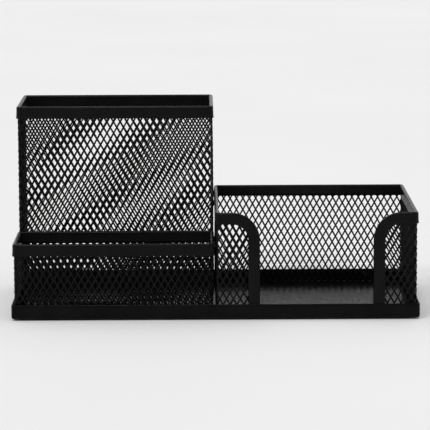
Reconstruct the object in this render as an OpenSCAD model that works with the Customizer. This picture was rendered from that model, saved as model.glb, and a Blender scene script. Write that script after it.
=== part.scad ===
// Desk organizer: three open boxes of expanded steel mesh, welded into one shallow
// sheet-steel tray. A tall pen box stands at the back left, a low clip tray in front of it,
// and a note holder with a wide notch in its front wall fills the right half.
// Origin on the desk, at the centre of the tray's footprint. The front faces -Y.

/* [Base tray] */
// Width of the tray, left to right
tray_w = 205; // [195:1:230]
// Depth of the tray, front to back
tray_d = 103; // [95:1:120]
// Height of the turned-up lip above the tray's underside
lip_h = 7.2; // [6.5:0.1:10]
// Thickness of the tray's sheet steel
sheet_t = 0.4; // [0.3:0.05:0.4]
// Gap inside the folded hem of the lip
hem_gap = 0.05; // [0.03:0.01:0.06]
// Outside radius of the tray's upright corners
tray_corner_r = 1.8; // [1.6:0.1:3]
// Outside radius of the bend between floor and lip
tray_bend_r = 1; // [0.8:0.1:1]

/* [Compartments] */
// Height of the pen box's rim above the tray's underside
pen_h = 102.2; // [80:0.1:120]
// Width of the pen box and of the clip tray, over their rims
pen_w = 101; // [90:1:105]
// Depth of the pen box, over its rim
pen_d = 58.2; // [45:0.1:65]
// Height of the clip tray's rim above the tray's underside
clip_h = 37.9; // [30:0.1:45]
// Height of the note holder's rim above the tray's underside
note_h = 53.3; // [50:0.1:65]
// Distance from the tray's outer faces in to the rims
rim_inset = 0.9; // [0.9:0.05:1.2]
// Gap between the rims of the left boxes and the note holder's rim
side_gap = 0.3; // [0.1:0.1:1]
// Gap between the clip tray's rear rim and the pen box's mesh
rear_gap = 0.2; // [0.1:0.1:0.5]

/* [Mesh] */
// Overall thickness of the raised expanded metal
mesh_t = 1; // [0.8:0.05:1]
// Clearance between the mesh and the steel round it
mesh_gap = 0.05; // [0.05:0.05:0.1]

/* [Rims] */
// Thickness of a rim from its outer face to its inner face
rim_t = 2; // [1.9:0.1:2.1]
// Height of the pen box's and the clip tray's rims
rim_h = 6.2; // [4:0.1:7]
// Height of the note holder's rim, and its width as a post beside the notch
note_rim_h = 5.8; // [4:0.1:7]
// Outside radius of a rim round an upright corner
rim_corner_r = 2.4; // [2.2:0.1:4]
// Outside radius of the folds along a rim's edge
rim_fold_r = 0.9; // [0.3:0.1:0.9]

/* [Notch] */
// Width of the notch in the note holder's front wall
notch_w = 56.8; // [45:0.1:65]
// Outside radius of the rim where it turns down into the notch
notch_r = 14; // [10:0.5:16]

/* [Pads and welds] */
// Diameter of a pad under the tray
pad_d = 10; // [6:1:14]
// Thickness of a pad
pad_h = 0.8; // [0.6:0.1:1.5]
// Distance from the tray's edges in to a pad's centre
pad_inset = 12; // [10:1:20]
// Diameter of a spot weld
weld_d = 3; // [2:0.5:3.5]
// Distance from a wall's middle out to each of its spot welds, as a share of the wall's length
weld_share = 0.3; // [0.2:0.05:0.35]

/* [Hidden] */
$fn = 48;

coat = [0.06, 0.06, 0.065];
mesh_coat = [0.04, 0.04, 0.045];
weld_colour = [0.1, 0.1, 0.1];
pad_colour = [0.13, 0.13, 0.13];

// Heights above the desk
tray_z = pad_h;
floor_z = tray_z + sheet_t;
mesh_z = floor_z + mesh_gap;

// The lip's hem, and where its inner leg ends above the tray's underside
hem_t = 2 * sheet_t + hem_gap;
hem_z = 2 * tray_bend_r;
weld_z = tray_z + (hem_z + lip_h - hem_t / 2) / 2;

// A rim is a channel with the mesh in its middle
mesh_inset = (rim_t - mesh_t) / 2;
mesh_corner_r = rim_corner_r - mesh_inset;
rim_skin = mesh_inset - mesh_gap;
mesh_top_drop = rim_skin + mesh_gap;

// The boxes over their rims, each [centre x, centre y, width, depth, rim height above the tray]
note_w = tray_w - 2 * rim_inset - pen_w - side_gap;
note_d = tray_d - 2 * rim_inset;
clip_d = note_d - pen_d + mesh_inset - rear_gap;
left_x = (pen_w - tray_w) / 2 + rim_inset;
PEN = [left_x, (note_d - pen_d) / 2, pen_w, pen_d, pen_h];
CLIP = [left_x, (clip_d - note_d) / 2, pen_w, clip_d, clip_h];
NOTE = [(tray_w - note_w) / 2 - rim_inset, 0, note_w, note_d, note_h];

// The turn about Z that brings a box's front wall to each of its sides
FRONT = 0;
RIGHT = 90;
BACK = 180;
LEFT = 270;

// Length of a box's wall over the rim, and the depth of the box as seen from that wall
function wall_length(box, side) = side % 180 == 0 ? box[2] : box[3];
function wall_reach(box, side) = side % 180 == 0 ? box[3] : box[2];

// A rectangle with rounded corners, centred on the origin
module rounded_rect(w, d, r) {
    square([w - 2 * r, d], center = true);
    square([w, d - 2 * r], center = true);
    for (x = [-1, 1], y = [-1, 1]) translate([x * (w / 2 - r), y * (d / 2 - r)]) circle(r);
}

// Lays a section along X, centred. The section's x runs towards +Y and its y upwards.
module bar(length) {
    translate([-length / 2, 0, 0]) rotate([90, 0, 90]) linear_extrude(length) children();
}

// Turns a section a quarter of the way round Z, at radius r. The section's x runs inwards.
module quarter_turn(r) {
    rotate_extrude(angle = 90) translate([r, 0]) mirror([1, 0]) children();
}

// Runs a section round a rectangle with rounded corners. The section's x runs inwards.
module ring(w, d, r) {
    for (side = [[FRONT, w, d], [RIGHT, d, w], [BACK, w, d], [LEFT, d, w]])
        rotate(side[0]) translate([0, -side[2] / 2, 0]) bar(side[1] - 2 * r) children();
    for (corner = [[1, 1, 0], [-1, 1, 90], [-1, -1, 180], [1, -1, 270]])
        translate([corner[0] * (w / 2 - r), corner[1] * (d / 2 - r), 0])
            rotate(corner[2]) quarter_turn(r) children();
}

// Section of the tray's edge: the bend, the outer wall, and the hem folded back inside it
module lip_section() {
    roll_z = lip_h - hem_t / 2;
    difference() {
        union() {
            translate([0, tray_bend_r]) square([sheet_t, roll_z - tray_bend_r]);
            translate([0, hem_z]) square([hem_t, roll_z - hem_z]);
            translate([hem_t / 2, roll_z]) circle(hem_t / 2);
        }
        translate([sheet_t, 0]) square([hem_gap, roll_z]);
    }
    intersection() {
        translate([tray_bend_r, tray_bend_r]) difference() {
            circle(tray_bend_r);
            circle(tray_bend_r - sheet_t);
        }
        square(tray_bend_r);
    }
}

// Section of a rim: a strip folded into a channel that is open downwards, with its top at y = 0
module rim_section(height) {
    difference() {
        union() {
            translate([0, -height]) square([rim_t, height - rim_fold_r]);
            translate([rim_fold_r, -rim_fold_r]) square([rim_t - 2 * rim_fold_r, rim_fold_r]);
            for (x = [rim_fold_r, rim_t - rim_fold_r]) translate([x, -rim_fold_r]) circle(rim_fold_r);
        }
        translate([rim_skin, -2 * height]) square([rim_t - 2 * rim_skin, 2 * height - rim_skin]);
    }
}

module base_tray() {
    color(coat) translate([0, 0, tray_z]) {
        linear_extrude(sheet_t) rounded_rect(
            tray_w - 2 * tray_bend_r, tray_d - 2 * tray_bend_r, tray_corner_r - tray_bend_r);
        ring(tray_w, tray_d, tray_corner_r) lip_section();
    }
}

// One mesh wall of a box, with half of the bend at each of its ends
module mesh_wall(box, side) {
    length = wall_length(box, side) - 2 * mesh_inset;
    reach = wall_reach(box, side) - 2 * mesh_inset;
    r = mesh_corner_r;
    top = tray_z + box[4] - mesh_top_drop;
    color(mesh_coat) translate([box[0], box[1], mesh_z]) rotate(side)
        linear_extrude(top - mesh_z) intersection() {
            difference() {
                rounded_rect(length, reach, r);
                rounded_rect(length - 2 * mesh_t, reach - 2 * mesh_t, r - mesh_t);
            }
            polygon([
                [-length / 2, -reach / 2], [length / 2, -reach / 2],
                [length / 2 - r, -reach / 2 + r], [-length / 2 + r, -reach / 2 + r]
            ]);
        }
}

// What is left of the note holder's front wall, on the left of the notch, seen from the front
module side_panel_outline() {
    edge = -notch_w / 2 - mesh_top_drop;
    top = tray_z + note_h - mesh_top_drop;
    r = notch_r - mesh_top_drop;
    translate([-note_w / 2, 0]) square([edge + note_w / 2, top - r]);
    translate([-note_w / 2, 0]) square([edge - r + note_w / 2, top]);
    translate([edge - r, top - r]) circle(r);
}

// The panel of the note holder's front wall beside the notch: turn is 0 on the left, 1 on the right
module note_side_panel(turn) {
    // The outline is cut through the wall from well in front of it to well behind its bend
    cut = 4 * rim_corner_r;
    intersection() {
        mesh_wall(NOTE, FRONT);
        color(mesh_coat) translate([NOTE[0], NOTE[1] - note_d / 2 + cut / 2, 0])
            mirror([turn, 0, 0]) rotate([90, 0, 0]) linear_extrude(cut) side_panel_outline();
    }
}

module closed_rim(box) {
    color(coat) translate([box[0], box[1], tray_z + box[4]])
        ring(box[2], box[3], rim_corner_r) rim_section(rim_h);
}

// Left half of the note holder's rim. Z is 0 at its top.
module half_note_rim() {
    half_w = note_w / 2;
    half_d = note_d / 2;
    r = rim_corner_r;
    stub = half_w - r - notch_w / 2 - notch_r;
    post = tray_z + note_h - notch_r - mesh_z;
    // Back, left side and the short stretch in front
    translate([-(half_w - r) / 2, half_d, 0]) rotate(BACK) bar(half_w - r) rim_section(note_rim_h);
    translate([-half_w, 0, 0]) rotate(LEFT) bar(note_d - 2 * r) rim_section(note_rim_h);
    translate([-half_w + r + stub / 2, -half_d, 0]) bar(stub) rim_section(note_rim_h);
    translate([-half_w + r, half_d - r, 0]) rotate(90) quarter_turn(r) rim_section(note_rim_h);
    translate([-half_w + r, -half_d + r, 0]) rotate(180) quarter_turn(r) rim_section(note_rim_h);
    // The turn down into the notch, and the post that stands on the tray
    translate([-notch_w / 2 - notch_r, -half_d, -notch_r]) mirror([0, 1, -1])
        rotate_extrude(angle = 90) translate([notch_r, 0]) mirror([1, -1]) rim_section(note_rim_h);
    translate([-notch_w / 2, -half_d, -notch_r - post]) linear_extrude(post)
        mirror([1, -1]) rim_section(note_rim_h);
}

module note_rim() {
    color(coat) translate([NOTE[0], NOTE[1], tray_z + note_h]) {
        half_note_rim();
        mirror([1, 0, 0]) half_note_rim();
    }
}

// A spot weld that bridges a gap in front of a wall's mesh, at a distance along it from its middle
module wall_weld(box, side, along, z, gap) {
    translate([box[0], box[1], z]) rotate(side)
        translate([along, -wall_reach(box, side) / 2 + mesh_inset, 0])
            rotate([90, 0, 0]) cylinder(d = weld_d, h = gap);
}

// Spot welds between the walls and the hem of the tray's lip
module tray_weld_spots() {
    gap = rim_inset + mesh_inset - hem_t;
    panel = (note_w - notch_w) / 2;
    color(weld_colour) {
        for (wall = [[PEN, LEFT], [PEN, BACK], [CLIP, FRONT], [CLIP, LEFT], [NOTE, RIGHT], [NOTE, BACK]])
            for (end = [-1, 1])
                wall_weld(wall[0], wall[1], end * weld_share * wall_length(wall[0], wall[1]), weld_z, gap);
        for (end = [-1, 1]) wall_weld(NOTE, FRONT, end * (note_w - panel) / 2, weld_z, gap);
    }
}

// Spot welds between a box's rim and the mesh of the box beside it
module divider_weld_spots() {
    clip_rim_z = tray_z + clip_h - rim_h / 2;
    note_rim_z = tray_z + note_h - note_rim_h / 2;
    side_reach = side_gap + mesh_inset;
    color(weld_colour) for (end = [-1, 1]) {
        wall_weld(PEN, FRONT, end * weld_share * pen_w, clip_rim_z, rear_gap);
        wall_weld(PEN, RIGHT, end * weld_share * pen_d, note_rim_z, side_reach);
        wall_weld(NOTE, LEFT, -CLIP[1] + end * weld_share * clip_d, clip_rim_z, side_reach);
    }
}

// A thin round pad: x and y are -1 or 1 for the corner it sits in
module pad(x, y) {
    color(pad_colour) translate([x * (tray_w / 2 - pad_inset), y * (tray_d / 2 - pad_inset), 0])
        cylinder(d = pad_d, h = pad_h);
}

base_tray();
mesh_wall(PEN, FRONT);  // pen_mesh_front
mesh_wall(PEN, BACK);  // pen_mesh_back
mesh_wall(PEN, LEFT);  // pen_mesh_left
mesh_wall(PEN, RIGHT);  // pen_mesh_right
closed_rim(PEN);  // pen_rim
mesh_wall(CLIP, FRONT);  // clip_mesh_front
mesh_wall(CLIP, BACK);  // clip_mesh_back
mesh_wall(CLIP, LEFT);  // clip_mesh_left
mesh_wall(CLIP, RIGHT);  // clip_mesh_right
closed_rim(CLIP);  // clip_rim
mesh_wall(NOTE, BACK);  // note_mesh_back
mesh_wall(NOTE, LEFT);  // note_mesh_left
mesh_wall(NOTE, RIGHT);  // note_mesh_right
note_side_panel(0);  // note_mesh_front_left
note_side_panel(1);  // note_mesh_front_right
note_rim();
tray_weld_spots();
divider_weld_spots();
pad(-1, -1);  // pad_front_left
pad(1, -1);  // pad_front_right
pad(-1, 1);  // pad_back_left
pad(1, 1);  // pad_back_right
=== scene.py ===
import math

import bpy
import numpy as np
from mathutils import Matrix, Vector


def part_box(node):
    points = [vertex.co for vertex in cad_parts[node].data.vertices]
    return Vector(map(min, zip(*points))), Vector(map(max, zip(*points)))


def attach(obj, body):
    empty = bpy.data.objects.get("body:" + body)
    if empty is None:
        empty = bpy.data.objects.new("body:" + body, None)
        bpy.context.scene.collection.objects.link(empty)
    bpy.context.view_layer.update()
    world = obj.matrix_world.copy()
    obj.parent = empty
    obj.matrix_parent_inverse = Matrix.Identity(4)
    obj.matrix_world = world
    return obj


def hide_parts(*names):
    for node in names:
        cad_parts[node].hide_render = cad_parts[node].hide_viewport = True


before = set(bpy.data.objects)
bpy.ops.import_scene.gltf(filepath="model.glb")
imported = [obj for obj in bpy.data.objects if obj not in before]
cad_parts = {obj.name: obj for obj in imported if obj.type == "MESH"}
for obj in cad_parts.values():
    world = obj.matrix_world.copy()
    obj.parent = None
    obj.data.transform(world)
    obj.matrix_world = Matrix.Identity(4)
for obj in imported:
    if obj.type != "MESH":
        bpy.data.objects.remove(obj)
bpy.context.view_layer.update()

MM = 0.001
QUARTER = math.pi / 2
UP = Vector((0, 0, 1))
FRONT, RIGHT, BACK, LEFT = range(4)

# ------------------------------------------------------------------ steel strip and sheet

# A rim is a strip folded over the edge of the mesh
RIM_T = 2.0 * MM          # from its outer face to its inner face
RIM_SKIN = 0.45 * MM      # thickness of the strip
RIM_FOLD = 0.9 * MM       # outside radius of the folds along its edge
RIM_CORNER = 2.4 * MM     # outside radius round an upright corner
NOTE_RIM_H = 5.8 * MM     # height of the note holder's rim, and its width as a post
NOTCH_TURN = 14.0 * MM    # outside radius where that rim turns down into the notch
RAW_EDGE = 0.08 * MM      # chamfer on a cut edge of the strip
RIM_WAVE = 0.05 * MM      # how far a hand-folded rim wanders from straight
RIM_FLARE = 0.22 * MM     # how far a rim's lower edge stands out at a corner

# The tray is one sheet with its lip folded up and hemmed
SHEET_T = 0.4 * MM
HEM_GAP = 0.05 * MM
TRAY_BEND = 1.0 * MM      # outside radius between floor and lip
TRAY_CORNER = 1.8 * MM    # outside radius of an upright corner
HEM_T = 2 * SHEET_T + HEM_GAP

# ------------------------------------------------------------------ expanded metal

KNUCKLE_H = 1.6 * MM      # height over which two strands stay joined
KNUCKLE_W = 0.97 * MM     # width of a knuckle at its waist, and of one strand measured level
STRAND_T = 0.38 * MM      # thickness of the metal
STRAND_LIFT = 0.32 * MM   # how far a strand's free edges are pushed out of the sheet
STRAND_EDGE = 0.09 * MM   # rounding along a strand
MESH_T = 1.0 * MM         # overall thickness of a wall of mesh
BULGE = 0.55 * MM         # how far the middle of a side wall bulges out
BULGE_FALL = 0.5          # below 1, the bulge stays full until close to the lip and the rim
MESH_INSET = (RIM_T - MESH_T) / 2


class Lattice:
    """How the holes of one box's mesh are laid out. No two sheets are cut quite alike."""

    def __init__(self, across, up, column, row, lean=0.0, sway=0.0, tilt=(0.0, 0.0), bend=1.4 * MM):
        self.half_column = across / 2    # half of the step from a hole to the next one beside it
        self.half_row = up / 2           # half of the step to the next one above it
        self.column = column             # where one column of knuckles stands along the wall
        self.row = row                   # height of one row of knuckles
        self.lean = lean                 # slope of the columns along the sheet
        self.sway = sway                 # slope of the columns towards +X on every wall
        self.tilt = tilt                 # slopes of the rows towards +X and +Y
        self.bend = bend                 # radius at which a corner's bend takes up the sheet


LATTICES = {
    "pen": Lattice(
        3.486 * MM, 6.02 * MM, column=0.651 * MM, row=4.533 * MM,
        lean=-0.0253, sway=-0.009, tilt=(0.0058, -0.0139), bend=1.53 * MM),
    "clip": Lattice(
        3.476 * MM, 6.04 * MM, column=-0.46 * MM, row=5.53 * MM,
        lean=-0.0093, tilt=(0.0092, 0.0)),
    "note": Lattice(
        3.4445 * MM, 6.07 * MM, column=0.845 * MM, row=1.64 * MM,
        lean=-0.01, tilt=(0.0066, 0.0)),
}


class Wrap:
    """The line that a box's walls follow, seen from above: a rectangle with round corners.

    The distance s is 0 in the middle of the front wall and grows to the right, then goes on
    round the right, back and left walls.
    """

    def __init__(self, rim, lattice, closed):
        low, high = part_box(rim)
        half = np.array([high.x - low.x, high.y - low.y]) / 2 - RIM_CORNER
        self.centre = np.array([high.x + low.x, high.y + low.y]) / 2
        self.middle = high.z / 2
        # The mesh is held flat below the tray's lip and inside the rim, and is free between them.
        # The other rims are close enough to the note holder's in height for this.
        self.free = (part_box("base_tray")[1].z, high.z - NOTE_RIM_H)
        self.radius = RIM_CORNER - RIM_T / 2
        self.bend_radius = lattice.bend
        self.bend = QUARTER * lattice.bend
        self.pivots = self.centre + half * np.array([(-1, -1), (1, -1), (1, 1), (-1, 1)])
        walls = 2 * half[[0, 1, 0, 1]]
        self.lengths = walls.copy()
        if closed:
            # The left wall takes up what is left, so that whole columns go all the way round
            around = walls.sum() + 4 * self.bend
            pitch = 2 * lattice.half_column
            self.lengths[LEFT] += round(around / pitch) * pitch - around
        self.stretch = walls / self.lengths
        self.starts = np.cumsum([-half[0], *(self.lengths[:3] + self.bend)])
        self.total = self.lengths.sum() + 4 * self.bend

    def corner(self, wall):
        """s at the middle of the bend in front of a wall."""
        return self.starts[wall] - self.bend / 2

    def place(self, s, out):
        """X, Y and the way along the line at distance s along it and out from it."""
        s = (s - self.starts[0]) % self.total + self.starts[0]
        wall = np.searchsorted(self.starts, s, side="right") - 1
        along = s - self.starts[wall]
        turn = np.maximum(along - self.lengths[wall], 0) / self.bend_radius
        along = np.minimum(along, self.lengths[wall]) * self.stretch[wall]
        heading = wall * QUARTER
        facing = heading + turn
        reach = self.radius + out
        x = self.pivots[wall, 0] + along * np.cos(heading) + reach * np.sin(facing)
        y = self.pivots[wall, 1] + along * np.sin(heading) - reach * np.cos(facing)
        return x, y, facing

    def bulge(self, s, z):
        """How far a side wall's mesh stands out of its plane."""
        s = (s - self.starts[0]) % self.total + self.starts[0]
        wall = np.searchsorted(self.starts, s, side="right") - 1
        along = np.clip((s - self.starts[wall]) / self.lengths[wall], 0, 1)
        up = np.clip((z - self.free[0]) / (self.free[1] - self.free[0]), 0, 1)
        is_side = wall % 2
        return BULGE * is_side * np.sin(math.pi * along) * np.sin(math.pi * up) ** BULGE_FALL


class Mesh:
    """One panel of expanded metal: strands side by side, joined at their knuckles."""

    def __init__(self, wrap, lattice, bottom, top):
        self.wrap = wrap
        self.lattice = lattice
        self.bottom = bottom
        self.top = top
        self.points = []
        self.faces = []
        self.shared = {}
        # Outline of one strand, from the middle of its left-hand knuckle up to the middle of
        # its right-hand one: heights, then how far across its two edges are
        across, up = lattice.half_column, lattice.half_row
        self.free_top = up - KNUCKLE_H / 2
        self.outline_up = [0, KNUCKLE_H / 2, self.free_top, up]
        self.outline_left = [0, 0, across - KNUCKLE_W, across - KNUCKLE_W / 2]
        self.outline_right = [KNUCKLE_W / 2, KNUCKLE_W, across, across]

    def column(self, k):
        return self.lattice.column + k * self.lattice.half_column

    def row_rise(self, x, y):
        """How much higher than at the box's centre a row stands at a place."""
        tilt = self.lattice.tilt
        return tilt[0] * (x - self.wrap.centre[0]) + tilt[1] * (y - self.wrap.centre[1])

    def cut(self, k, height):
        """Where column k meets a level cut, in the lattice's own height."""
        x, y, _ = self.wrap.place(self.column(k), 0.0)
        return height - self.row_rise(x, y)

    def knuckle_at(self, k, z):
        """Number of column k's knuckle that spans height z, or None."""
        row = (z - self.lattice.row) / self.lattice.half_row
        near = 2 * round((row - k % 2) / 2) + k % 2
        apart = abs(row - near) * self.lattice.half_row
        return near if apart <= KNUCKLE_H / 2 + 1e-9 else None

    def ring(self, k, key, z_left, z_right):
        """One cross-section of strand k, between columns k - 1 and k: eight point numbers."""
        left_joined = self.knuckle_at(k - 1, z_left) is not None
        right_joined = self.knuckle_at(k, z_right) is not None
        z = (z_left + z_right) / 2
        half_row = self.lattice.half_row
        phase = (z - self.lattice.row - (k - 1) % 2 * half_row) % (2 * half_row)
        up = min(phase, 2 * half_row - phase)
        left = np.interp(up, self.outline_up, self.outline_left)
        right = np.interp(up, self.outline_up, self.outline_right)
        # A strand's left edge stands out of the sheet, and its right edge in
        left_out = STRAND_LIFT * np.interp(up, [KNUCKLE_H / 2, half_row], [0, 1])
        right_out = -STRAND_LIFT * np.interp(up, [0, self.free_top], [1, 0])
        start = self.column(k - 1)
        sides = []
        for joined, col, across, out, level, inward in (
            (left_joined, k - 1, left, left_out, z_left, 1),
            (right_joined, k, right, right_out, z_right, -1),
        ):
            if joined:
                pair = [self.joint(col, key, layer, level) for layer in (1, -1)]
                sides.append([pair[0], pair[0], pair[1], pair[1]])
                continue
            edge = start + across
            flat = edge + inward * STRAND_EDGE
            half_t = STRAND_T / 2
            profile = (
                (flat, half_t), (edge, half_t - STRAND_EDGE),
                (edge, STRAND_EDGE - half_t), (flat, -half_t),
            )
            sides.append([self.add(s, out + n, level) for s, n in profile])
        (ol1, ol2, il2, il1), (or1, or2, ir2, ir1) = sides
        return [ol1, or1, or2, ir2, ir1, il1, il2, ol2]

    def add(self, s, out, z):
        self.points.append((s, out, z))
        return len(self.points) - 1

    def joint(self, k, key, layer, z):
        """The point that two joined strands share."""
        name = (k, key, layer)
        if name not in self.shared:
            self.shared[name] = self.add(self.column(k), layer * STRAND_T / 2, z)
        return self.shared[name]

    def levels(self, k):
        """Keys and heights of strand k's cross-sections, from the bottom up."""
        lows = [self.cut(c, self.bottom) for c in (k - 1, k)]
        highs = [self.cut(c, self.top(self.column(c))) for c in (k - 1, k)]
        clear = 0.1 * MM
        row_zero, half_row = self.lattice.row, self.lattice.half_row
        first = math.ceil((max(lows) - row_zero) / half_row) - 1
        last = math.floor((min(highs) - row_zero) / half_row) + 1
        levels = [("bottom", lows)]
        for row in range(first, last + 1):
            for part in (-1, 0, 1):
                z = row_zero + row * half_row + part * KNUCKLE_H / 2
                if max(lows) + clear < z < min(highs) - clear:
                    levels.append(((row, part), (z, z)))
        return levels + [("top", highs)]

    def joined_spans(self, k, column, levels):
        """Pairs of neighbouring cross-sections of strand k between which it is one with column."""
        side = 0 if column == k - 1 else 1
        spans = set()
        for (key_a, za), (key_b, zb) in zip(levels, levels[1:]):
            knuckles = [self.knuckle_at(column, z[side]) for z in (za, zb)]
            if knuckles[0] is not None and knuckles[0] == knuckles[1]:
                spans.add((key_a, key_b))
        return spans

    def build(self, strands):
        """Adds the numbered strands."""
        levels = {k: self.levels(k) for k in strands}
        for k in strands:
            open_sides = {}
            for slot, column, other in ((6, k - 1, k - 1), (2, k, k + 1)):
                own = self.joined_spans(k, column, levels[k])
                theirs = self.joined_spans(other, column, levels[other]) if other in levels else set()
                open_sides[slot] = own & theirs
            rings = [(key, self.ring(k, key, *z)) for key, z in levels[k]]
            for (key_a, low), (key_b, high) in zip(rings, rings[1:]):
                for j in range(8):
                    if (key_a, key_b) in open_sides.get(j, ()):
                        continue
                    after = (j + 1) % 8
                    self.face([low[j], low[after], high[after], high[j]])
            self.face(list(reversed(rings[0][1])))
            self.face(rings[-1][1])

    def face(self, corners):
        ring = [c for i, c in enumerate(corners) if c != corners[i - 1]]
        if len(set(ring)) == len(ring) > 2:
            self.faces.append(ring)

    def vertices(self):
        s, out, z = np.array(self.points).T
        facing = self.wrap.place(s, 0.0)[2]
        lean = self.lattice.lean + self.lattice.sway * np.cos(facing)
        out = out + self.wrap.bulge(s, z)
        x, y, _ = self.wrap.place(s + lean * (z - self.wrap.middle), out)
        return np.stack([x, y, z + self.row_rise(x, y)], axis=1)


# ------------------------------------------------------------------ making pieces


def add_piece(name, vertices, faces, material, slot, *replaced, sharp=50):
    """Makes a mesh piece that rides on the body and stands for CAD nodes."""
    mesh = bpy.data.meshes.new(name)
    mesh.from_pydata([tuple(v) for v in vertices], [], faces)
    mesh.polygons.foreach_set("use_smooth", [True] * len(mesh.polygons))
    mesh.set_sharp_from_angle(angle=math.radians(sharp))
    mesh.materials.append(material)
    mesh.update()
    piece = bpy.data.objects.new(name, mesh)
    bpy.context.scene.collection.objects.link(piece)
    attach(piece, "root")
    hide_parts(*replaced)
    return piece


def sweep(stations, section, closed):
    """Carries a section along stations. Each station is (origin, inward axis, edge axis, shift),
    and shift(inward, up) moves a point of the section there."""
    vertices, faces = [], []
    count = len(section)
    for origin, inward, edge, shift in stations:
        for a, h in section:
            da, dh = shift(a, h)
            vertices.append(origin + inward * (a + da) + edge * (h + dh))
    spans = len(stations) if closed else len(stations) - 1
    for i in range(spans):
        low, high = i * count, (i + 1) % len(stations) * count
        for j in range(count):
            after = (j + 1) % count
            faces.append([low + j, high + j, high + after, low + after])
    if not closed:
        faces.append(list(range(count)))
        faces.append(list(range(len(vertices) - 1, len(vertices) - 1 - count, -1)))
    return vertices, faces


def arc(centre, radius, start, end, steps):
    """Points along an arc, with its angles in degrees."""
    angles = [math.radians(start + (end - start) * i / steps) for i in range(steps + 1)]
    return [(centre[0] + radius * math.cos(a), centre[1] + radius * math.sin(a)) for a in angles]


def revolve(profile, centre, axis, steps, wobble=0.0):
    """A closed solid of revolution. The profile is (radius, distance along the axis)."""
    turn = UP.rotation_difference(Vector(axis))
    vertices, faces = [], []
    for r, along in profile:
        for i in range(steps):
            angle = 2 * math.pi * i / steps
            uneven = r * (1 + wobble * math.sin(3 * angle + 1) + wobble * math.sin(5 * angle))
            point = Vector((uneven * math.cos(angle), uneven * math.sin(angle), along))
            vertices.append(Vector(centre) + turn @ point)
    for ring in range(len(profile) - 1):
        for i in range(steps):
            after = (i + 1) % steps
            low, high = ring * steps, (ring + 1) * steps
            faces.append([low + i, low + after, high + after, high + i])
    faces.append(list(range(steps - 1, -1, -1)))
    faces.append(list(range(len(vertices) - steps, len(vertices))))
    return vertices, faces


# ------------------------------------------------------------------ materials


def add_node(tree, kind, **values):
    """Adds a shader node. Values name its input sockets, or its own settings."""
    node = tree.nodes.new(kind)
    for key, value in values.items():
        if key in node.inputs:
            node.inputs[key].default_value = value
        else:
            setattr(node, key, value)
    return node


def new_material(name):
    material = bpy.data.materials.new(name)
    material.use_nodes = True
    return material, material.node_tree, material.node_tree.nodes["Principled BSDF"]


def noise(tree, size, detail=3.0, roughness=0.55):
    """Noise in the object's own space, with features of about the given size in metres."""
    place = add_node(tree, "ShaderNodeTexCoord")
    texture = add_node(
        tree, "ShaderNodeTexNoise", Scale=1 / size, Detail=detail, Roughness=roughness)
    tree.links.new(place.outputs["Object"], texture.inputs["Vector"])
    return texture.outputs["Fac"]


def spread(tree, source, low, high, from_low=0.35, from_high=0.65):
    """Maps a noise to the range low to high."""
    node = add_node(tree, "ShaderNodeMapRange")
    node.inputs["From Min"].default_value = from_low
    node.inputs["From Max"].default_value = from_high
    node.inputs["To Min"].default_value = low
    node.inputs["To Max"].default_value = high
    tree.links.new(source, node.inputs["Value"])
    return node.outputs["Result"]


def mottle(tree, source, dark, light, low=0.35, high=0.65):
    """Colour that goes from dark to light as the source goes from low to high."""
    node = add_node(tree, "ShaderNodeValToRGB")
    first, last = node.color_ramp.elements
    first.position, first.color = low, (*dark, 1)
    last.position, last.color = high, (*light, 1)
    tree.links.new(source, node.inputs["Fac"])
    return node.outputs["Color"]


def relief(tree, layers):
    """A chain of bumps. Each layer is (noise output, depth in metres, strength)."""
    normal = None
    for source, depth, strength in layers:
        bump = add_node(tree, "ShaderNodeBump", Strength=strength, Distance=depth)
        tree.links.new(source, bump.inputs["Height"])
        if normal:
            tree.links.new(normal, bump.inputs["Normal"])
        normal = bump.outputs["Normal"]
    return normal


def powder_coat(name, dark, light, rough_low, rough_high, grain, peel, wave=0.0, specular=0.2):
    """Black powder coat: a fine grain, an orange peel and a slow wave of the sheet under it."""
    material, tree, shader = new_material(name)
    colour = mottle(tree, noise(tree, 9 * MM, detail=4), dark, light)
    tree.links.new(colour, shader.inputs["Base Color"])
    rough = spread(tree, noise(tree, 3 * MM, detail=5), rough_low, rough_high)
    tree.links.new(rough, shader.inputs["Roughness"])
    layers = [
        (noise(tree, 0.35 * MM, detail=2), grain, 0.6),
        (noise(tree, 1.3 * MM, detail=1), peel, 0.8),
    ]
    if wave:
        layers.insert(0, (noise(tree, 24 * MM, detail=1), wave, 1.0))
    tree.links.new(relief(tree, layers), shader.inputs["Normal"])
    shader.inputs["Specular IOR Level"].default_value = specular
    return material


def rubber(name):
    """Soft foam rubber with open pores."""
    material, tree, shader = new_material(name)
    pores = add_node(tree, "ShaderNodeTexVoronoi", Scale=1 / (0.5 * MM))
    place = add_node(tree, "ShaderNodeTexCoord")
    tree.links.new(place.outputs["Object"], pores.inputs["Vector"])
    # Painted shade: the colour follows the same pore depth as the bump, darker down in each pore and
    # lighter on the ridges between them
    dark, light = (0.006, 0.006, 0.006), (0.022, 0.022, 0.021)
    colour = mottle(tree, pores.outputs["Distance"], dark, light, 0.05, 0.6)
    tree.links.new(colour, shader.inputs["Base Color"])
    rough = spread(tree, noise(tree, 0.8 * MM), 0.8, 0.95)
    tree.links.new(rough, shader.inputs["Roughness"])
    normal = relief(tree, [(pores.outputs["Distance"], 0.1 * MM, 0.8)])
    tree.links.new(normal, shader.inputs["Normal"])
    shader.inputs["Specular IOR Level"].default_value = 0.25
    return material


def studio_floor():
    material, tree, shader = new_material("pale_floor")
    colour = mottle(tree, noise(tree, 0.35, detail=2), (0.80, 0.80, 0.80), (0.82, 0.82, 0.82))
    tree.links.new(colour, shader.inputs["Base Color"])
    shader.inputs["Roughness"].default_value = 0.8
    shader.inputs["Specular IOR Level"].default_value = 0.1
    return material


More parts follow.
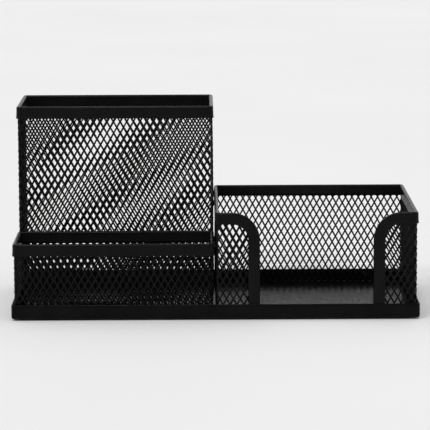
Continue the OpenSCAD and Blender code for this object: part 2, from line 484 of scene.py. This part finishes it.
TRAY_COAT = powder_coat(
    "tray_powder_coat", (0.002, 0.002, 0.0022), (0.0035, 0.0037, 0.0037),
    0.17, 0.27, grain=0.003 * MM, peel=0.010 * MM, wave=0.03 * MM, specular=0.07)
RIM_COAT = powder_coat(
    "rim_powder_coat", (0.002, 0.002, 0.0022), (0.0035, 0.0035, 0.0037),
    0.24, 0.34, grain=0.008 * MM, peel=0.02 * MM, wave=0.05 * MM, specular=0.10)
MESH_COAT = powder_coat(
    "mesh_powder_coat", (0.0015, 0.0015, 0.0016), (0.003, 0.003, 0.003),
    0.30, 0.46, grain=0.008 * MM, peel=0.012 * MM, specular=0.12)
WELD_COAT = powder_coat(
    "coated_weld", (0.004, 0.004, 0.004), (0.011, 0.010, 0.009),
    0.45, 0.7, grain=0.02 * MM, peel=0.03 * MM)
PAD_RUBBER = rubber("foam_rubber")

# ------------------------------------------------------------------ mesh walls


def mesh_panel(node, wrap, lattice, span, top=None):
    """Replaces one CAD mesh wall. The strands whose middles lie within the span are its own."""
    low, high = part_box(node)
    panel = Mesh(wrap, lattice, low.z, top or (lambda s: high.z))
    first, last = (math.ceil((s - lattice.column) / lattice.half_column + 0.5) for s in span)
    panel.build(range(first, last))
    add_piece(f"{node}_strands", panel.vertices(), panel.faces, MESH_COAT, "mesh_coat", node)


def closed_box(name):
    """The four walls of a box that one sheet goes all the way round."""
    lattice = LATTICES[name]
    wrap = Wrap(f"{name}_rim", lattice, closed=True)
    corners = [wrap.corner(wall) for wall in range(4)]
    spans = {
        "left": (corners[LEFT] - wrap.total, corners[FRONT]),
        "front": (corners[FRONT], corners[RIGHT]),
        "right": (corners[RIGHT], corners[BACK]),
        "back": (corners[BACK], corners[LEFT]),
    }
    for wall, span in spans.items():
        mesh_panel(f"{name}_mesh_{wall}", wrap, lattice, span)


def notched_box():
    """The note holder's walls, from one side of its notch all the way round to the other."""
    lattice = LATTICES["note"]
    wrap = Wrap("note_rim", lattice, closed=False)
    corners = [wrap.corner(wall) for wall in range(4)]
    mesh_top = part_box("note_mesh_back")[1].z
    left_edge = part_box("note_mesh_front_left")[1].x - wrap.centre[0]
    right_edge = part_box("note_mesh_front_right")[0].x - wrap.centre[0]
    turn = NOTCH_TURN - MESH_INSET

    def top(s):
        """Height of the front wall's edge, where it comes down to the notch."""
        beside = min(s - right_edge, wrap.total + left_edge - s)
        drop = min(max(turn - beside, 0), turn)
        return mesh_top - turn + math.sqrt(turn ** 2 - drop ** 2)

    # The strands beside the notch lean, so the outermost ones stay this far inside the rim
    lean_room = 1.2 * MM
    spans = {
        "front_right": (right_edge + lean_room, corners[RIGHT]),
        "right": (corners[RIGHT], corners[BACK]),
        "back": (corners[BACK], corners[LEFT]),
        "left": (corners[LEFT], corners[FRONT] + wrap.total),
        "front_left": (corners[FRONT] + wrap.total, wrap.total + left_edge - lean_room),
    }
    for wall, span in spans.items():
        edge = top if wall.startswith("front") else None
        mesh_panel(f"note_mesh_{wall}", wrap, lattice, span, edge)


# ------------------------------------------------------------------ rims


def strip_section(height):
    """Section of a rim, from the foot of its outer leg over the fold and back up inside.
    Points are (inwards from the outer face, up from the rim's top)."""
    c = RAW_EDGE
    outer_fold = arc((RIM_FOLD, -RIM_FOLD), RIM_FOLD, 180, 90, 8)
    inner_fold = arc((RIM_T - RIM_FOLD, -RIM_FOLD), RIM_FOLD, 90, 0, 8)
    middle = [-height * share for share in (0.75, 0.5, 0.25)]
    outer_leg = [(0, -height + c)] + [(0, h) for h in middle]
    inner_leg = [(RIM_T, h) for h in reversed(middle)] + [(RIM_T, -height + c), (RIM_T - c, -height)]
    inside = [
        (RIM_T - RIM_SKIN + c, -height), (RIM_T - RIM_SKIN, -height + c),
        (RIM_T - RIM_SKIN, -RIM_SKIN), (RIM_SKIN, -RIM_SKIN),
        (RIM_SKIN, -height + c), (RIM_SKIN - c, -height), (c, -height),
    ]
    return outer_leg + outer_fold + inner_fold + inner_leg + inside


def steady(a, h):
    return 0.0, 0.0


def wander(distance, height, flare):
    """How the strip strays at a place along it: a slow wave, and a flare of its lower edges."""
    long_wave, short_wave, short_share = 9 * MM, 3.7 * MM, 0.6
    swing = math.sin(distance / long_wave) + short_share * math.sin(distance / short_wave + 2)
    drift = RIM_WAVE * swing / (1 + short_share)
    inner_share, fold_share = 0.6, 0.3

    def shift(a, h):
        low = min(-h / height, 1) ** 2
        outer = a < RIM_T / 2
        stray = drift - flare * low if outer else drift * inner_share
        return stray * (fold_share + (1 - fold_share) * low), 0.0

    return shift


STRAIGHT_STEP = 6.0 * MM
CORNER_STEPS = 8
TURN_STEPS = 18


class StripPath:
    """Collects the stations of a rim as it is walked."""

    def __init__(self, height):
        self.height = height
        self.distance = 0.0
        self.stations = []

    def add(self, origin, inward, edge, flare=0.0):
        if self.stations:
            self.distance += (Vector(origin) - self.stations[-1][0]).length
        shift = wander(self.distance, self.height, flare)
        self.stations.append((Vector(origin), Vector(inward), Vector(edge), shift))

    def run(self, start, end, inward, edge, flares=(0.0, 0.0)):
        """A straight stretch. flares are at its two ends, and die away within 5 mm."""
        start, end = Vector(start), Vector(end)
        length = (end - start).length
        steps = max(2, round(length / STRAIGHT_STEP))
        fade = 5.0 * MM
        marks = sorted({0.0, length, *(length * i / steps for i in range(steps + 1)),
                        *(m for m in (fade / 2, fade, length - fade, length - fade / 2)
                          if 0 < m < length)})
        for mark in marks:
            near_start = max(0.0, 1 - mark / fade) * flares[0]
            near_end = max(0.0, 1 - (length - mark) / fade) * flares[1]
            self.add(start.lerp(end, mark / length), inward, edge, near_start + near_end)

    def corner(self, pivot, start, flare):
        """A quarter turn clockwise about an upright axis, from a start angle in degrees, without
        its two ends."""
        for i in range(1, CORNER_STEPS):
            share = i / CORNER_STEPS
            out = heading(start - 90 * share)
            swell = flare * (1 + 0.35 * math.sin(math.pi * share) * math.cos(6 * math.pi * share))
            self.add(pivot + RIM_CORNER * out, -out, UP, swell)


def heading(angle):
    """The level direction at an angle in degrees from +X."""
    return Vector((math.cos(math.radians(angle)), math.sin(math.radians(angle)), 0))


def corner_pivots(low, high, radius, z):
    """Axes of a box's rounded corners, clockwise from the back right one, each with the angle
    at which its quarter turn starts."""
    x0, x1, y0, y1 = low.x + radius, high.x - radius, low.y + radius, high.y - radius
    return [
        (Vector((x1, y1, z)), 90), (Vector((x1, y0, z)), 0),
        (Vector((x0, y0, z)), -90), (Vector((x0, y1, z)), -180),
    ]


def wall_run(path, corner, following, flare=RIM_FLARE):
    """The straight stretch from the end of one corner to the start of the following one."""
    out = heading(corner[1] - 90)
    path.run(corner[0] + RIM_CORNER * out, following[0] + RIM_CORNER * out, -out, UP, (flare, flare))


def closed_rim(name):
    """Rim of a box that it goes all the way round."""
    low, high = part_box(name)
    path = StripPath(high.z - low.z)
    pivots = corner_pivots(low, high, RIM_CORNER, high.z)
    for corner, following in zip(pivots, pivots[1:] + pivots[:1]):
        path.corner(*corner, RIM_FLARE)
        wall_run(path, corner, following)
    vertices, faces = sweep(path.stations, strip_section(path.height), closed=True)
    add_piece(f"{name}_strip", vertices, faces, RIM_COAT, "rim_coat", name)


def notched_rim():
    """Rim of the note holder: up one post, round the box, and down the other post."""
    name = "note_rim"
    low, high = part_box(name)
    front, top, turn = low.y, high.z, NOTCH_TURN
    left_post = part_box("note_mesh_front_left")[1].x + MESH_INSET
    right_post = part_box("note_mesh_front_right")[0].x - MESH_INSET
    back_right, front_right, front_left, back_left = corner_pivots(low, high, RIM_CORNER, top)
    inward, rightward = heading(90), heading(0)
    path = StripPath(NOTE_RIM_H)

    def notch_turn(centre_x, start):
        """A quarter turn anticlockwise seen from the front, without its two ends."""
        for i in range(1, TURN_STEPS):
            angle = math.radians(start + 90 * i / TURN_STEPS)
            edge = Vector((math.cos(angle), 0, math.sin(angle)))
            path.add(Vector((centre_x, front, top - turn)) + turn * edge, inward, edge)

    path.run((left_post, front, low.z), (left_post, front, top - turn), inward, rightward)
    notch_turn(left_post - turn, 0)
    left_end = front_left[0] + RIM_CORNER * heading(-90)
    path.run((left_post - turn, front, top), left_end, inward, UP, (0, RIM_FLARE))
    corners = [front_left, back_left, back_right, front_right]
    for corner, following in zip(corners, corners[1:]):
        path.corner(*corner, RIM_FLARE)
        wall_run(path, corner, following)
    path.corner(*front_right, RIM_FLARE)
    right_start = front_right[0] + RIM_CORNER * heading(-90)
    path.run(right_start, (right_post + turn, front, top), inward, UP, (RIM_FLARE, 0))
    notch_turn(right_post + turn, 90)
    path.run((right_post, front, top - turn), (right_post, front, low.z), inward, -rightward)
    vertices, faces = sweep(path.stations, strip_section(NOTE_RIM_H), closed=False)
    add_piece(f"{name}_strip", vertices, faces, RIM_COAT, "rim_coat", name)


# ------------------------------------------------------------------ tray


def tray():
    """The tray: a floor, a lip bent up round it, and the lip's edge folded down inside."""
    low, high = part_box("base_tray")
    roll = high.z - low.z - HEM_T / 2
    hem_foot = 2 * TRAY_BEND
    section = [
        *arc((TRAY_BEND, TRAY_BEND), TRAY_BEND - SHEET_T, 270, 180, 5),
        (SHEET_T, roll), (SHEET_T + HEM_GAP, roll),
        (SHEET_T + HEM_GAP, hem_foot + RAW_EDGE), (SHEET_T + HEM_GAP + RAW_EDGE, hem_foot),
        (HEM_T - RAW_EDGE, hem_foot), (HEM_T, hem_foot + RAW_EDGE),
        *arc((HEM_T / 2, roll), HEM_T / 2, 0, 180, 8),
        *arc((TRAY_BEND, TRAY_BEND), TRAY_BEND, 180, 270, 6),
    ]
    stations = []
    for pivot, start in corner_pivots(low, high, TRAY_CORNER, low.z):
        for i in range(CORNER_STEPS + 1):
            out = heading(start - 90 * i / CORNER_STEPS)
            stations.append((pivot + TRAY_CORNER * out, -out, UP, steady))
    count = len(section)
    vertices, faces = sweep(stations, section, closed=True)
    faces = [f for f in faces if not spans_floor(f, count)]
    upper = range(0, len(vertices), count)
    faces.append(list(reversed(upper)))
    faces.append([v + count - 1 for v in upper])
    add_piece("base_tray_sheet", vertices, faces, TRAY_COAT, "tray_coat", "base_tray", sharp=35)


def spans_floor(face, count):
    """True for the face that would close the section between the floor's two sides."""
    places = {v % count for v in face}
    return places == {0, count - 1}


# ------------------------------------------------------------------ welds and pads


def islands(node):
    """Boxes of the separate solids in a CAD node, as (lowest corner, highest corner)."""
    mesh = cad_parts[node].data
    places = [tuple(round(c, 7) for c in v.co) for v in mesh.vertices]
    parent = {p: p for p in places}

    def root(p):
        while parent[p] != p:
            p = parent[p]
        return p

    for edge in mesh.edges:
        a, b = (root(places[i]) for i in edge.vertices)
        parent[a] = b
    groups = {}
    for p in set(places):
        groups.setdefault(root(p), []).append(p)
    return sorted((tuple(map(min, zip(*g))), tuple(map(max, zip(*g)))) for g in groups.values())


def weld_nuggets(node):
    """Squashed beads of weld metal, one for each disc of the CAD node."""
    sink = 0.3 * MM
    cut = 1.2    # angle from the bead's middle at which its round ends are cut flat
    vertices, faces = [], []
    for low, high in islands(node):
        low, high = Vector(low), Vector(high)
        size = high - low
        along = min((0, 1), key=lambda i: size[i])
        axis = Vector((0, 0, 0))
        axis[along] = 1
        radius, half = size.z / 2, size[along] / 2 + sink
        profile = [
            (radius * math.cos(t) ** 0.5, half * math.sin(t) / math.sin(cut))
            for t in (-cut, -0.9, -0.55, -0.2, 0.2, 0.55, 0.9, cut)
        ]
        bead, bead_faces = revolve(profile, (low + high) / 2, axis, 28, wobble=0.03)
        offset = len(vertices)
        vertices += bead
        faces += [[offset + v for v in face] for face in bead_faces]
    add_piece(f"{node}_beads", vertices, faces, WELD_COAT, "weld_spot", node)


def pad(node):
    """A die-cut disc of foam rubber, a little swollen at its edge."""
    low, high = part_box(node)
    radius, height = (high.x - low.x) / 2, high.z - low.z
    ease = 0.22 * MM
    edge = [(radius - ease + x, y) for x, y in arc((0, ease), ease, -90, 0, 4)]
    upper = [(radius - 0.4 * ease, height * 0.7), (radius - 0.5 * ease, height)]
    profile = [(radius * 0.5, 0.0), *edge, *upper, (radius * 0.5, height)]
    centre = ((low.x + high.x) / 2, (low.y + high.y) / 2, low.z)
    vertices, faces = revolve(profile, centre, UP, 48)
    add_piece(f"{node}_disc", vertices, faces, PAD_RUBBER, "pad_rubber", node)


# ------------------------------------------------------------------ studio


def sunlight(name, azimuth, elevation, width, strength):
    """Even light on the whole floor, as from a softbox far off that looks width degrees across.
    The azimuth is in degrees from straight in front, with the left side below 0."""
    light = bpy.data.lights.new(name, "SUN")
    light.energy = strength
    light.angle = math.radians(width)
    obj = bpy.data.objects.new(name, light)
    turn, rise = math.radians(azimuth), math.radians(elevation)
    obj.location = (
        math.cos(rise) * math.sin(turn), -math.cos(rise) * math.cos(turn), math.sin(rise))
    bpy.context.scene.collection.objects.link(obj)
    obj.rotation_mode = "QUATERNION"
    obj.rotation_quaternion = (-obj.location).to_track_quat("-Z", "Y")


def surroundings(front, back):
    """Plain light from all round, dimmer from the front than from the back."""
    world = bpy.data.worlds.new("studio")
    bpy.context.scene.world = world
    world.use_nodes = True
    tree = world.node_tree
    place = add_node(tree, "ShaderNodeTexCoord")
    split = add_node(tree, "ShaderNodeSeparateXYZ")
    tree.links.new(place.outputs["Generated"], split.inputs[0])
    # Y is -1 straight in front, and the light goes from front to back between these
    front_edge, back_edge = -0.9, -0.1
    level = spread(tree, split.outputs["Y"], front, back, front_edge, back_edge)
    tree.links.new(level, tree.nodes["Background"].inputs["Strength"])
    tree.nodes["Background"].inputs["Color"].default_value = (1, 1, 1, 1)


def floor():
    half = 30.0
    below_pads = 0.05 * MM
    mesh = bpy.data.meshes.new("studio_floor")
    corners = [(-half, -half, 0), (half, -half, 0), (half, half, 0), (-half, half, 0)]
    mesh.from_pydata(corners, [], [(0, 1, 2, 3)])
    mesh.materials.append(studio_floor())
    obj = bpy.data.objects.new("studio_floor", mesh)
    obj.location.z = -below_pads
    bpy.context.scene.collection.objects.link(obj)


def camera():
    """A long lens a little above the object, looking slightly down at its front."""
    place = Vector((-0.0073, -1.3301, 0.2488))
    yaw, pitch, roll = (math.radians(a) for a in (0.319, 8.692, 0.224))
    ahead = Vector((
        math.sin(yaw) * math.cos(pitch), math.cos(yaw) * math.cos(pitch), -math.sin(pitch)))
    level = Vector((math.cos(yaw), -math.sin(yaw), 0))
    upright = level.cross(ahead)
    right = math.cos(roll) * level - math.sin(roll) * upright
    top = math.sin(roll) * level + math.cos(roll) * upright
    data = bpy.data.cameras.new("camera")
    data.sensor_width = 36.0
    data.lens = 217.4
    data.clip_start, data.clip_end = 0.05, 100.0
    obj = bpy.data.objects.new("camera", data)
    obj.matrix_world = Matrix.Translation(place) @ Matrix((right, top, -ahead)).transposed().to_4x4()
    bpy.context.scene.collection.objects.link(obj)
    bpy.context.scene.camera = obj


# ------------------------------------------------------------------ the scene

closed_box("pen")
closed_box("clip")
notched_box()
closed_rim("pen_rim")
closed_rim("clip_rim")
notched_rim()
tray()
weld_nuggets("tray_weld_spots")
weld_nuggets("divider_weld_spots")
for pad_node in ("pad_front_left", "pad_front_right", "pad_back_left", "pad_back_right"):
    pad(pad_node)

camera()
floor()
surroundings(front=0.17, back=0.86)
sunlight("key", azimuth=-38, elevation=42, width=12, strength=0.85)
sunlight("front", azimuth=-4, elevation=45, width=9, strength=0.78)
bpy.context.scene.view_settings.view_transform = "Standard"
